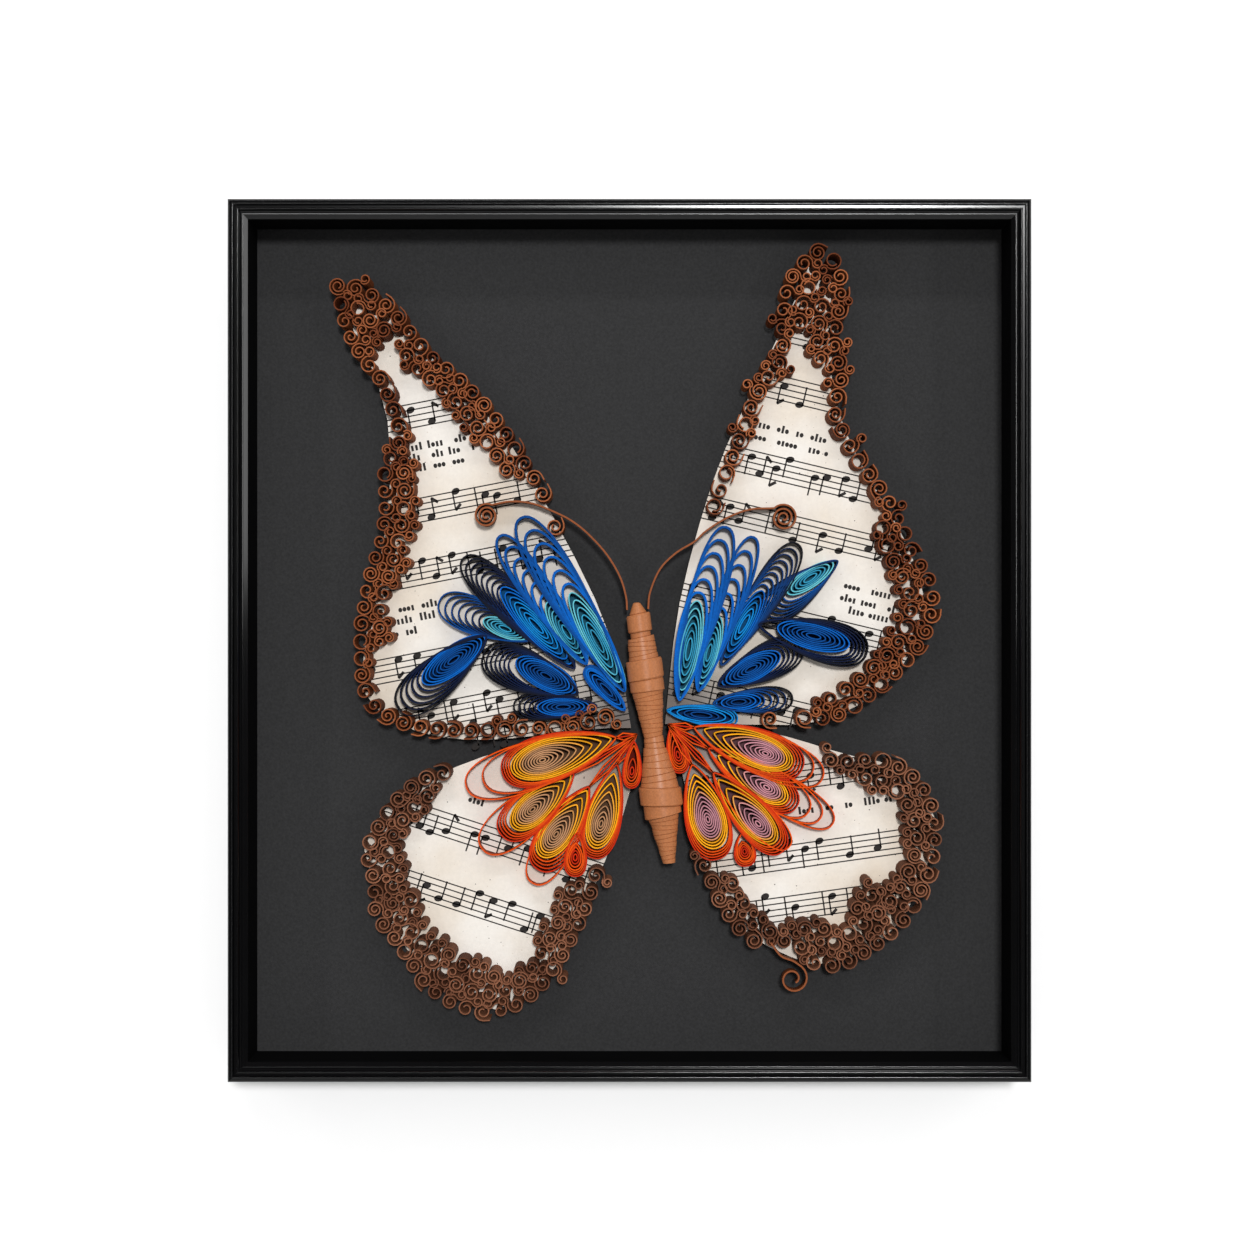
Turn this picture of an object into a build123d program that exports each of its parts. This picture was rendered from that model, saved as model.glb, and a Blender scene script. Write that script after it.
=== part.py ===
"""Quilled paper butterfly on a charcoal card, in a deep black moulding, ready to hang on a wall.

X runs to the right, Z up and the picture faces -Y. The wall is the plane Y = 0, and the origin
is the point where the nail bears in the middle notch of the sawtooth hanger.
"""
import os
from math import atan2, cos, degrees, pi, radians, sin, tau

from build123d import *

os.makedirs("parts", exist_ok=True)

# Moulding, in millimetres
frame_width = 273.0
frame_height = 300.0
rail_width = 6.8
rail_depth = 27.0
rail_relief = 2.4
rabbet_width = 3.3
recess_depth = 18.0

# Card and board in the rabbet
card_thickness = 1.5
board_thickness = 3.0
sheet_clearance = 0.4

# Steel points that hold the board in
tab_length = 11.0
tab_width = 5.0
tab_thickness = 0.5
tab_bite = 2.0
tab_clearance = 0.05
tab_spread_share = 0.27

# Sawtooth hanger and its rivets
hanger_drop = 24.0
hanger_length = 44.0
hanger_height = 9.0
hanger_thickness = 0.7
hanger_foot = 8.0
hanger_ramp = 2.0
tooth_pitch = 3.2
tooth_depth = 2.2
tooth_count = 7
rivet_shank = 1.1
rivet_head = 2.0
rivet_head_height = 0.5
rivet_clearance = 0.05
rivet_sides = 10
cut_overrun = 1.0

# Room between the butterfly and the moulding, at each side and at the head and foot
side_margin = 24.7
head_margin = 10.4

# Paper, foam and quilling strip
paper_thickness = 0.4
foam_thickness = 3.0
foam_width = 12.0
strip_height = 5.0
strip_thickness = 0.5
coil_diameter = 5.55
coil_gap = 0.12
coil_sides = 6

# Photograph coordinates, in pixels: how far the butterfly reaches, and the middle of the frame
reach_left_px = 331.0
reach_right_px = 937.0
reach_top_px = 250.0
reach_bottom_px = 1016.0
centre_px = (629.4, 640.2)

# Values that follow from those above: the butterfly is as large as the opening and its margins allow
opening_width = frame_width - 2 * rail_width
opening_height = frame_height - 2 * rail_width
mm_per_px = min(
    (opening_width - 2 * side_margin) / (reach_right_px - reach_left_px),
    (opening_height - 2 * head_margin) / (reach_bottom_px - reach_top_px),
)
ledge_depth = rail_depth - rail_relief - recess_depth
board_setback = ledge_depth - card_thickness - board_thickness
wing_top = foam_thickness + paper_thickness
coil_pitch = coil_diameter + 2 * coil_gap
centre_z = hanger_drop - frame_height / 2
sheet_width = frame_width - 2 * (rail_width - rabbet_width) - 2 * sheet_clearance
sheet_height = frame_height - 2 * (rail_width - rabbet_width) - 2 * sheet_clearance


def picture_plane(forward):
    """Plane seen from the front, at a distance forward from the wall, centred in the frame."""
    return Plane(origin=(0, -forward, centre_z), x_dir=(1, 0, 0), z_dir=(0, -1, 0))


def art_plane(height):
    """Plane seen from the front, at a height above the face of the card."""
    return picture_plane(ledge_depth + height)


def art(pixel):
    """Point of the artwork, in millimetres from the middle of the frame."""
    return Vector((pixel[0] - centre_px[0]) * mm_per_px, (centre_px[1] - pixel[1]) * mm_per_px)


def finish(piece, label):
    """Name a piece and write it out."""
    piece.part.label = label
    export_step(piece.part, f"parts/{label}.step")


# Moulding rails: shares of the rail's width and of its relief, from the outer edge to the sight edge
rail_face_shares = [
    (0.00, 0.30), (0.08, 0.52), (0.20, 0.60), (0.235, 0.80), (0.275, 0.82), (0.31, 0.72),
    (0.34, 0.48), (0.44, 0.48), (0.475, 0.86), (0.51, 1.00), (0.55, 1.00), (0.585, 0.86),
    (0.62, 0.60), (0.70, 0.50), (0.79, 0.60), (1.00, 0.00),
]


def make_rail(label, inward, reach, length):
    """One mitred rail. Inward points to the middle of the frame, reach away from it."""
    outer = Vector(0, 0, centre_z) - inward * reach
    front = Vector(0, -1, 0)
    along = inward.cross(front)
    section = Plane(origin=outer, x_dir=inward, z_dir=along)
    face_points = [
        (across * rail_width, rail_depth - rail_relief + rise * rail_relief)
        for across, rise in rail_face_shares
    ]
    with BuildPart() as rail:
        with BuildSketch(section):
            with BuildLine():
                Polyline(
                    (rail_width, ledge_depth),
                    (rail_width - rabbet_width, ledge_depth),
                    (rail_width - rabbet_width, 0),
                    (0, 0),
                    *face_points,
                    close=True,
                )
            make_face()
        extrude(amount=length / 2, both=True)
        for side in (1, -1):
            mitre = Plane(origin=outer + along * side * length / 2, z_dir=inward + along * side)
            split(bisect_by=mitre, keep=Keep.BOTTOM)
        slot_plane = Plane(origin=outer + front * board_setback, x_dir=-along, z_dir=-front)
        slot_middle = rail_width - rabbet_width - tab_bite
        with BuildSketch(slot_plane.offset(-tab_clearance)):
            with Locations(*[(side * tab_spread_share * length, slot_middle) for side in (1, -1)]):
                Rectangle(
                    tab_width + 2 * tab_clearance,
                    rail_width,
                    align=(Align.CENTER, Align.MIN),
                )
        extrude(amount=tab_thickness + 2 * tab_clearance, mode=Mode.SUBTRACT)
    finish(rail, label)
    return outer, along


rail_sides = {
    "top": (Vector(0, 0, -1), frame_height / 2, frame_width),
    "bottom": (Vector(0, 0, 1), frame_height / 2, frame_width),
    "left": (Vector(1, 0, 0), frame_width / 2, frame_height),
    "right": (Vector(-1, 0, 0), frame_width / 2, frame_height),
}
rail_places = {}
for rail_name, (rail_inward, rail_reach, rail_length) in rail_sides.items():
    rail_places[rail_name] = make_rail(f"frame_rail_{rail_name}", rail_inward, rail_reach, rail_length)

# Mount card, front face on the ledge of the rabbet
with BuildPart() as mount_card:
    with BuildSketch(picture_plane(ledge_depth - card_thickness)):
        Rectangle(sheet_width, sheet_height)
    extrude(amount=card_thickness)
finish(mount_card, "mount_card")

# Backing board, with the two rivet holes of the hanger
rivet_places = [side * (hanger_length - hanger_foot) / 2 for side in (1, -1)]
rivet_z = hanger_height / 2 - tooth_depth
board_back = Plane(origin=(0, -board_setback, 0), x_dir=(-1, 0, 0), z_dir=(0, 1, 0))
with BuildPart() as backing_board:
    with BuildSketch(picture_plane(board_setback)):
        Rectangle(sheet_width, sheet_height)
    extrude(amount=board_thickness)
    with BuildSketch(board_back):
        with Locations(*[(place, rivet_z) for place in rivet_places]):
            RegularPolygon(rivet_shank + rivet_clearance, rivet_sides)
    extrude(amount=-board_thickness, mode=Mode.SUBTRACT)
finish(backing_board, "backing_board")

# Retaining points, two to a rail, pushed into the wall of the rabbet
with BuildPart() as retaining_points:
    for rail_name, (rail_inward, rail_reach, rail_length) in rail_sides.items():
        rail_outer, rail_along = rail_places[rail_name]
        tab_origin = rail_outer + Vector(0, -board_setback, 0)
        with BuildSketch(Plane(origin=tab_origin, x_dir=-rail_along, z_dir=(0, 1, 0))):
            tab_start = rail_width - rabbet_width - tab_bite + tab_clearance
            spread = tab_spread_share * rail_length
            with Locations((spread, tab_start), (-spread, tab_start)):
                Rectangle(tab_width, tab_length, align=(Align.CENTER, Align.MIN))
        extrude(amount=tab_thickness)
finish(retaining_points, "retaining_points")

# Sawtooth hanger: a strip with two feet on the board and its middle raised to the wall
foot_end = hanger_length / 2 - hanger_foot
raised_end = foot_end - hanger_ramp
with BuildPart() as sawtooth_hanger:
    with BuildSketch(Plane.XY.offset(-tooth_depth)):
        with BuildLine():
            Polyline(
                (-hanger_length / 2, -board_setback),
                (-foot_end, -board_setback),
                (-raised_end, -hanger_thickness),
                (raised_end, -hanger_thickness),
                (foot_end, -board_setback),
                (hanger_length / 2, -board_setback),
                (hanger_length / 2, hanger_thickness - board_setback),
                (foot_end, hanger_thickness - board_setback),
                (raised_end, 0),
                (-raised_end, 0),
                (-foot_end, hanger_thickness - board_setback),
                (-hanger_length / 2, hanger_thickness - board_setback),
                close=True,
            )
        make_face()
    extrude(amount=hanger_height)
    with BuildSketch(Plane.XZ):
        with GridLocations(tooth_pitch, 0, tooth_count, 1):
            with BuildLine():
                Polyline(
                    (0, 0),
                    (-tooth_pitch / 2, -tooth_depth),
                    (tooth_pitch / 2, -tooth_depth),
                    close=True,
                )
            make_face()
    extrude(amount=hanger_thickness + cut_overrun, both=True, mode=Mode.SUBTRACT)
    with BuildSketch(board_back):
        with Locations(*[(place, rivet_z) for place in rivet_places]):
            RegularPolygon(rivet_shank + rivet_clearance, rivet_sides)
    extrude(amount=hanger_thickness, mode=Mode.SUBTRACT)
finish(sawtooth_hanger, "sawtooth_hanger")

# Rivets, from the face of the board out to a flat head on the hanger's feet
with BuildPart() as hanger_rivets:
    for place in rivet_places:
        with BuildSketch(board_back.offset(hanger_thickness)):
            with Locations((place, rivet_z)):
                RegularPolygon(rivet_head, rivet_sides)
        extrude(amount=rivet_head_height)
        with BuildSketch(board_back.offset(hanger_thickness)):
            with Locations((place, rivet_z)):
                RegularPolygon(rivet_shank, rivet_sides)
        extrude(amount=-(hanger_thickness + board_thickness))
finish(hanger_rivets, "hanger_rivets")

# Wings: each edge is a run of pixel points, and the edges meet end to end
wing_edges_px = {
    "left_forewing": [
        [(343, 293), (382, 306), (424, 350), (497, 426), (552, 515), (590, 588), (620, 668), (631, 728)],
        [(631, 728), (541, 735), (456, 739), (380, 712), (362, 690)],
        [(362, 690), (365, 640), (385, 530), (390, 458), (381, 394), (357, 340), (343, 293)],
    ],
    "right_forewing": [
        [(810, 262), (775, 343), (738, 420), (714, 478), (695, 540), (679, 606), (669, 684), (665, 724)],
        [(665, 724), (794, 725)],
        [(794, 725), (845, 712), (880, 690), (912, 650), (925, 600)],
        [(925, 600), (900, 530), (852, 445), (832, 345), (836, 290), (810, 262)],
    ],
    "left_hindwing": [
        [(636, 736), (520, 746), (444, 772), (383, 811), (364, 850)],
        [(364, 850), (382, 905), (440, 985), (496, 1010)],
        [(496, 1010), (540, 985), (572, 940), (598, 878), (630, 791), (636, 736)],
    ],
    "right_hindwing": [
        [(668, 728), (748, 729), (792, 738), (857, 757), (900, 768), (930, 806)],
        [(930, 806), (937, 839), (925, 870), (905, 915), (855, 955), (813, 965)],
        [(813, 965), (765, 945), (735, 923), (709, 882), (698, 847), (680, 765), (668, 728)],
    ],
}


def even_points(curve, count):
    """Points spaced evenly along a curve, from its start up to the last before its end."""
    return [curve.position_at(curve.length * step / count, PositionMode.LENGTH) for step in range(count)]


# Each edge is cut as a run of short straight snips
snips_per_edge = 12
for wing_name, wing_edges in wing_edges_px.items():
    outline_points = []
    for edge_px in wing_edges:
        edge_curve = Edge.make_spline([art(pixel) for pixel in edge_px])
        outline_points += even_points(edge_curve, snips_per_edge)
    with BuildPart() as wing:
        with BuildSketch(art_plane(foam_thickness)):
            with BuildLine():
                Polyline(*outline_points, close=True)
            make_face()
        extrude(amount=paper_thickness)
    finish(wing, wing_name)

# Foam strips under each wing: the two ends of each strip's middle line
foam_runs_px = {
    "left_forewing": [[(405, 500), (395, 680)], [(470, 520), (585, 690)], [(440, 700), (560, 712)]],
    "right_forewing": [[(735, 470), (700, 690)], [(800, 400), (880, 620)], [(745, 690), (850, 660)]],
    "left_hindwing": [[(600, 765), (410, 830)], [(570, 850), (450, 930)]],
    "right_hindwing": [[(695, 755), (890, 800)], [(730, 850), (860, 900)]],
}

for wing_name, foam_runs in foam_runs_px.items():
    with BuildPart() as foam:
        with BuildSketch(art_plane(0)):
            with BuildLine():
                for run_px in foam_runs:
                    Line(*[art(pixel) for pixel in run_px])
            trace(line_width=foam_width)
        extrude(amount=foam_thickness)
    finish(foam, f"{wing_name}_foam")


def leaf_points(base, tip, width, base_sharp, tip_sharp, count):
    """Points round a pinched loop. Sharpness 1 rounds an end, 2 and more draws it to a point."""
    axis = tip - base
    side = Vector(-axis.Y, axis.X).normalized()
    widest_share = base_sharp / (base_sharp + tip_sharp)
    crest = widest_share ** (base_sharp / 2) * (1 - widest_share) ** (tip_sharp / 2)
    points = []
    for step in range(count):
        half_turn = pi * step / count
        out = sin(half_turn) ** base_sharp * abs(cos(half_turn)) ** tip_sharp / crest
        hand = 1 if half_turn < pi / 2 else -1
        points.append(base + axis * sin(half_turn) ** 2 + side * hand * out * width / 2)
    return points


# Forms of feather: how sharp the base and the far end are, then the shares of the outer loop's length
# and width that the inner coil takes
feather_form_shares = {
    "open": (1.6, 1.0, 0.60, 0.56),
    "full": (1.7, 1.0, 0.78, 0.72),
    "pointed": (1.6, 1.3, 0.74, 0.68),
    "drop": (1.7, 1.0, 0.78, 0.64),
    "leaf": (1.6, 1.6, 0.80, 0.66),
}

# Quilled feathers: the form, then the base, the far end and the width of the outer loop in pixels.
# A feather wider than second_loop_px has a second loop between the outer one and the coil
loop_points = 9
second_loop_px = 18
feathers_px = {
    "left_blue_feather_1": ("open", (624, 690), (531, 521), 29),
    "left_blue_feather_2": ("open", (586, 663), (499, 538), 24),
    "left_blue_feather_3": ("full", (572, 667), (464, 561), 27),
    "left_blue_feather_4": ("open", (526, 640), (441, 604), 26),
    "left_blue_feather_5": ("full", (486, 638), (404, 703), 34),
    "left_blue_feather_6": ("full", (578, 693), (486, 658), 36),
    "left_blue_feather_7": ("pointed", (595, 706), (515, 708), 20),
    "left_blue_feather_8": ("leaf", (624, 710), (589, 671), 15),
    "right_blue_feather_1": ("open", (680, 699), (724, 531), 23),
    "right_blue_feather_2": ("open", (698, 691), (751, 539), 19),
    "right_blue_feather_3": ("pointed", (721, 664), (793, 545), 24),
    "right_blue_feather_4": ("open", (837, 562), (772, 619), 26),
    "right_blue_feather_5": ("full", (764, 625), (864, 652), 34),
    "right_blue_feather_6": ("full", (718, 685), (788, 652), 30),
    "right_blue_feather_7": ("open", (713, 702), (791, 698), 22),
    "right_blue_feather_8": ("leaf", (671, 712), (735, 717), 14),
    "left_orange_feather_1": ("full", (616, 739), (468, 783), 42),
    "left_orange_feather_2": ("full", (574, 775), (486, 840), 38),
    "left_orange_feather_3": ("full", (590, 783), (533, 881), 36),
    "left_orange_feather_4": ("full", (620, 762), (592, 854), 32),
    "left_orange_feather_5": ("drop", (632, 745), (628, 786), 12),
    "left_orange_feather_6": ("drop", (583, 838), (575, 874), 17),
    "right_orange_feather_1": ("full", (683, 730), (813, 760), 33),
    "right_orange_feather_2": ("full", (692, 745), (822, 820), 29),
    "right_orange_feather_3": ("full", (708, 770), (780, 849), 32),
    "right_orange_feather_4": ("full", (692, 760), (720, 858), 36),
    "right_orange_feather_5": ("drop", (674, 731), (682, 771), 11),
    "right_orange_feather_6": ("drop", (739, 832), (746, 864), 17),
}


def strip_loop(points):
    """Section of one closed loop of strip whose outer side follows the points."""
    with BuildSketch() as loop:
        with BuildLine():
            Polyline(*points, close=True)
        make_face()
        offset(amount=-strip_thickness, kind=Kind.INTERSECTION, mode=Mode.SUBTRACT)
    return loop.sketch


def make_feather(label, form, base_px, tip_px, width_px):
    """One feather: loops of strip round a rolled coil, all pinched together at the base."""
    base_sharp, tip_sharp, length_share, width_share = feather_form_shares[form]
    base = art(base_px)
    axis = art(tip_px) - base
    width = width_px * mm_per_px
    outline = leaf_points(base, base + axis, width, base_sharp, tip_sharp, loop_points)
    loops = [strip_loop(outline)]
    if width_px > second_loop_px:
        second_tip = base + axis * (1 + length_share) / 2
        second_width = width * (1 + width_share) / 2
        second = leaf_points(base, second_tip, second_width, base_sharp, tip_sharp, loop_points)
        loops.append(strip_loop(second))
    coil_tip = base + axis * length_share
    coil = leaf_points(base, coil_tip, width * width_share, base_sharp, tip_sharp, loop_points)
    with BuildPart() as feather:
        with BuildSketch(art_plane(wing_top)):
            add(loops)
            with BuildLine():
                Polyline(*coil, close=True)
            make_face()
        extrude(amount=strip_height)
    finish(feather, label)
    return outline


feather_outlines = []
for feather_name, feather_shape in feathers_px.items():
    feather_outlines.append(make_feather(feather_name, *feather_shape))


def spiral_points(centre, start_radius, end_radius, start_angle, turns, steps_per_turn):
    """Points of a roll that tightens towards its centre. Negative turns run clockwise."""
    steps = int(abs(turns) * steps_per_turn)
    points = []
    for step in range(steps + 1):
        angle = radians(start_angle) + tau * turns * step / steps
        radius = start_radius + (end_radius - start_radius) * step / steps
        points.append(centre + Vector(cos(angle), sin(angle)) * radius)
    return points


def strip_outline(points):
    """Both sides of a strip that stands on edge along the points."""
    left = []
    right = []
    last = len(points) - 1
    for index, point in enumerate(points):
        ahead = (points[min(index + 1, last)] - points[max(index - 1, 0)]).normalized()
        side = Vector(-ahead.Y, ahead.X) * strip_thickness / 2
        left.append(point + side)
        right.append(point - side)
    return left + right[::-1]


# Strips that run free, in pixels: the route, then the centre and the first and last radius of the roll
# at its end. The turn table gives the first angle of the roll and its turns
roll_steps = 9
loose_strips_px = {
    "left_antenna": (
        [(627, 610), (626, 597), (620, 577), (607, 555), (589, 535), (573, 522), (556, 513), (533, 504),
         (511, 502)],
        (487, 517), 14.5, 3.0,
    ),
    "right_antenna": (
        [(648, 609), (650, 592), (660, 569), (676, 553), (694, 542), (706, 531), (727, 518), (749, 510)],
        (783, 519), 17.5, 3.0,
    ),
    "tail_scroll": (
        [(770, 941), (780, 954), (792, 959)],
        (792, 977), 15.0, 3.5,
    ),
}
roll_turns = {"left_antenna": (62, 2.2), "right_antenna": (136, -2.3), "tail_scroll": (55, -1.6)}

strip_routes = {}
for strip_name, (route_px, roll_px, first_px, last_px) in loose_strips_px.items():
    route = [art(pixel) for pixel in route_px]
    route += spiral_points(
        art(roll_px), first_px * mm_per_px, last_px * mm_per_px, *roll_turns[strip_name], roll_steps
    )
    with BuildPart() as loose_strip:
        with BuildSketch(art_plane(wing_top)):
            with BuildLine():
                Polyline(*strip_outline(route), close=True)
            make_face()
        extrude(amount=strip_height)
    finish(loose_strip, strip_name)
    strip_routes[strip_name] = Wire.make_polygon(route, close=False)

# Body: shares of its length and of its largest radius, from the head to the tip of the abdomen. Where a
# length comes twice, one wrap of strip ends and the next begins
body_head_px = (636.5, 602.6)
body_tail_px = (669.0, 862.0)
body_width_px = 42.13
body_sides = 16
body_shares = [
    (0.000, 0.16), (0.012, 0.27), (0.044, 0.43), (0.044, 0.57), (0.113, 0.57), (0.113, 0.48),
    (0.133, 0.48), (0.133, 0.64), (0.218, 0.71), (0.218, 0.86), (0.295, 0.86), (0.295, 0.81),
    (0.341, 0.81), (0.341, 0.75), (0.515, 0.46), (0.557, 0.50), (0.557, 0.55), (0.708, 0.92),
    (0.708, 1.00), (0.777, 1.00), (0.777, 0.88), (0.819, 0.88), (0.819, 0.74), (0.950, 0.44),
    (0.990, 0.36), (1.000, 0.24),
]
body_radius = body_width_px * mm_per_px / 2
body_frame = art_plane(body_radius)
body_head = body_frame.from_local_coords(art(body_head_px))
body_tail = body_frame.from_local_coords(art(body_tail_px))
body_axis = body_tail - body_head


def make_wrap(start_share, start_radius, end_share, end_radius):
    """One tapered wrap of the body, as a prism whose flat sides are drafted."""
    length = body_axis.length * (end_share - start_share)
    fall = body_radius * (start_radius - end_radius)
    station = Plane(
        origin=body_head + body_axis * start_share,
        x_dir=body_frame.z_dir,
        z_dir=body_axis,
    )
    with BuildPart() as wrap:
        with BuildSketch(station):
            RegularPolygon(
                body_radius * start_radius, body_sides, major_radius=False, rotation=180 / body_sides
            )
        extrude(amount=length)
        if fall:
            sides = wrap.faces().filter_by(Axis(body_head, body_axis), reverse=True)
            draft(sides, station, degrees(atan2(fall, length)))
    return wrap.part


wraps = [
    make_wrap(*start, *end)
    for start, end in zip(body_shares, body_shares[1:])
    if end[0] > start[0]
]
with BuildPart() as butterfly_body:
    add(wraps)
finish(butterfly_body, "butterfly_body")

# Border scrolls: each row of coils follows a run of pixel points
border_rows_px = {
    "left_forewing": [
        [(342, 291), (361, 294), (391, 311), (424, 351), (456, 379), (497, 422), (521, 458), (539, 487),
         (556, 528)],
        [(345, 309), (352, 335), (366, 360), (385, 385), (397, 416), (402, 445), (390, 469), (389, 509),
         (377, 566), (366, 620), (365, 664), (370, 694), (390, 714), (432, 727), (483, 729), (540, 727),
         (579, 724), (606, 716), (622, 717)],
        [(362, 313), (378, 328), (396, 342), (411, 362), (444, 392), (470, 418), (490, 446), (508, 472)],
        [(407, 475), (407, 509), (395, 566), (384, 612), (383, 628)],
    ],
    "right_forewing": [
        [(815, 258), (800, 270), (788, 286), (782, 310), (780, 335), (779, 360), (761, 388), (742, 432),
         (724, 478), (708, 524)],
        [(830, 266), (838, 289), (835, 319), (832, 356), (838, 381), (832, 413), (838, 431), (856, 463),
         (876, 491), (896, 523), (908, 553), (925, 582), (922, 630), (899, 664), (868, 692), (840, 711),
         (802, 717)],
        [(815, 277), (806, 292), (800, 310), (797, 327), (795, 344)],
        [(822, 294), (818, 315), (815, 335), (815, 352), (820, 369), (820, 396)],
        [(864, 498), (879, 530), (889, 562), (905, 590), (903, 628), (886, 652), (856, 679), (828, 698)],
        [(787, 719), (770, 718), (749, 717)],
    ],
    "left_hindwing": [
        [(462, 772), (430, 776), (400, 798), (381, 826), (371, 850), (378, 878), (378, 902), (402, 938),
         (424, 972), (458, 999), (496, 1006), (530, 991), (556, 962), (574, 930), (588, 898), (596, 872)],
        [(446, 787), (420, 802), (398, 830), (391, 852), (396, 878), (396, 900), (416, 930), (440, 962),
         (468, 985), (500, 988), (524, 973), (545, 945), (560, 916), (572, 887)],
        [(412, 880), (416, 906), (432, 932), (455, 953), (480, 969), (504, 970), (521, 953)],
    ],
    "right_hindwing": [
        [(813, 750), (846, 760), (866, 758), (896, 766), (921, 790), (930, 820), (929, 850), (917, 886),
         (898, 918), (868, 943), (835, 960), (812, 958)],
        [(862, 776), (888, 784), (904, 803), (912, 828), (910, 854), (897, 882), (878, 906), (850, 927),
         (822, 943), (794, 941), (768, 927)],
        [(893, 862), (876, 884), (852, 906), (828, 922), (802, 925)],
        [(752, 936), (733, 918), (715, 888), (703, 862)],
        [(757, 917), (742, 899), (731, 880)],
    ],
}


def clears(place, others):
    """Whether a coil at the place keeps clear of the feathers, the loose strips and the other coils."""
    here = Vertex(place.X, place.Y, 0)
    room = coil_diameter / 2 + coil_gap
    if any((place - other).length < coil_diameter + coil_gap for other in others):
        return False
    if any(route.distance_to(here) < room + strip_thickness / 2 for route in strip_routes.values()):
        return False
    return all(face.distance_to(here) > room for face in feather_faces)


feather_faces = [Face(Wire.make_polygon(outline)) for outline in feather_outlines]
coil_count = 0
for wing_name, wing_rows in border_rows_px.items():
    coil_places = []
    for row_px in wing_rows:
        row = Edge.make_spline([art(pixel) for pixel in row_px])
        row_count = int(row.length / coil_pitch)
        for index in range(row_count + 1):
            coil_place = row.position_at(index * row.length / row_count, PositionMode.LENGTH)
            if clears(coil_place, coil_places):
                coil_places.append(coil_place)
    with BuildPart() as border:
        with BuildSketch(art_plane(wing_top)):
            with Locations(*coil_places):
                RegularPolygon(coil_diameter / 2, coil_sides)
        extrude(amount=strip_height)
    finish(border, f"{wing_name}_border")
    coil_count += len(coil_places)
    print(wing_name, "coils", len(coil_places))
print("coils in all", coil_count)
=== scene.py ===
import math
import random

import bmesh
import bpy
from mathutils import Matrix, Vector


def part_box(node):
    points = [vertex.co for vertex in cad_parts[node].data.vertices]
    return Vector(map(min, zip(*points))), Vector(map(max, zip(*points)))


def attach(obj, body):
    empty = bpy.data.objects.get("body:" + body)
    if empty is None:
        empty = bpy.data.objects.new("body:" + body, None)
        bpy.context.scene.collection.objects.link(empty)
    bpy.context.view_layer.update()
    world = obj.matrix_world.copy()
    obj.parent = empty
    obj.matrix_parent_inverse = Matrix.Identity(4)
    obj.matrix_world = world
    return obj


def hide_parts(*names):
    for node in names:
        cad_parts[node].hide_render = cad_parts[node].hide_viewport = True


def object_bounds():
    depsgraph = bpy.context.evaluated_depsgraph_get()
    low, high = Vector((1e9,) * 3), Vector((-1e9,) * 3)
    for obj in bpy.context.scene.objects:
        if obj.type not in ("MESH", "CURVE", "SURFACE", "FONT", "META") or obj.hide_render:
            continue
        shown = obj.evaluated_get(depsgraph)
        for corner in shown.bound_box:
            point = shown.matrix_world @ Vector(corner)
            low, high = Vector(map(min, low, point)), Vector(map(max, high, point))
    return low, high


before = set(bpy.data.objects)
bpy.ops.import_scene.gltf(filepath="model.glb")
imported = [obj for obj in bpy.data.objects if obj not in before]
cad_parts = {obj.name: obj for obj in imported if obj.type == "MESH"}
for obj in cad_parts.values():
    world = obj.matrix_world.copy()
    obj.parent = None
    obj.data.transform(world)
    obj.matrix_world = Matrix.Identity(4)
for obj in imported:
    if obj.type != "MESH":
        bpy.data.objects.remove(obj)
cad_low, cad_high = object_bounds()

chance = random.Random(11)
scene = bpy.context.scene
scene.view_settings.view_transform = "Standard"

# Places read from the frame, in metres
MM = 0.001
WELD = 1e-6
RAIL_RELIEF = 2.4 * MM
card_low, card_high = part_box("mount_card")
CENTRE_Z = (card_low.z + card_high.z) / 2
CARD_FACE = card_low.y
WING_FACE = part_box("left_forewing")[0].y
STRIP_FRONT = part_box("left_forewing_border")[0].y
LIP_Y = cad_low.y + RAIL_RELIEF

# Photograph: metres of artwork to a pixel, from the span of the wings, and the pixel in the middle
SPAN = 0.210
SPAN_PX = 606
PIXEL = SPAN / SPAN_PX
MIDDLE_PX = (629.4, 640.2)
IMAGE_PX = 1254


def art(px, py):
    """Place of a photograph pixel on the artwork, as x and z."""
    return Vector(((px - MIDDLE_PX[0]) * PIXEL, CENTRE_Z + (MIDDLE_PX[1] - py) * PIXEL))


def shade(red, green, blue):
    """Colour of a 0 to 255 screen value, as the renderer takes it."""
    def linear(value):
        value /= 255
        return value / 12.92 if value <= 0.04045 else ((value + 0.055) / 1.055) ** 2.4
    return (linear(red), linear(green), linear(blue))


def between(first, last, share):
    """Colour or place a share of the way from the first to the last."""
    return tuple(a + (b - a) * share for a, b in zip(first, last))


def heading(angle):
    """Flat direction at an angle from the x axis."""
    return Vector((math.cos(angle), math.sin(angle)))


# Strip colours
ROYAL = shade(0, 72, 146)
BRIGHT = shade(0, 98, 192)
SKY = shade(8, 126, 200)
NAVY = shade(4, 26, 68)
INK_BLACK = shade(16, 18, 28)
TEAL = shade(98, 188, 204)
DEEP_TEAL = shade(48, 146, 182)
ORANGE = shade(228, 80, 8)
RED = shade(200, 42, 6)
YELLOW = shade(246, 166, 22)
TAN = shade(188, 138, 98)
MAUVE = shade(194, 134, 144)
SCROLL = shade(166, 96, 58)
DARK_SCROLL = shade(108, 54, 29)
UMBER = shade(152, 100, 74)
DARK_UMBER = shade(104, 64, 46)
KRAFT = shade(198, 125, 78)


# Materials

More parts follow.
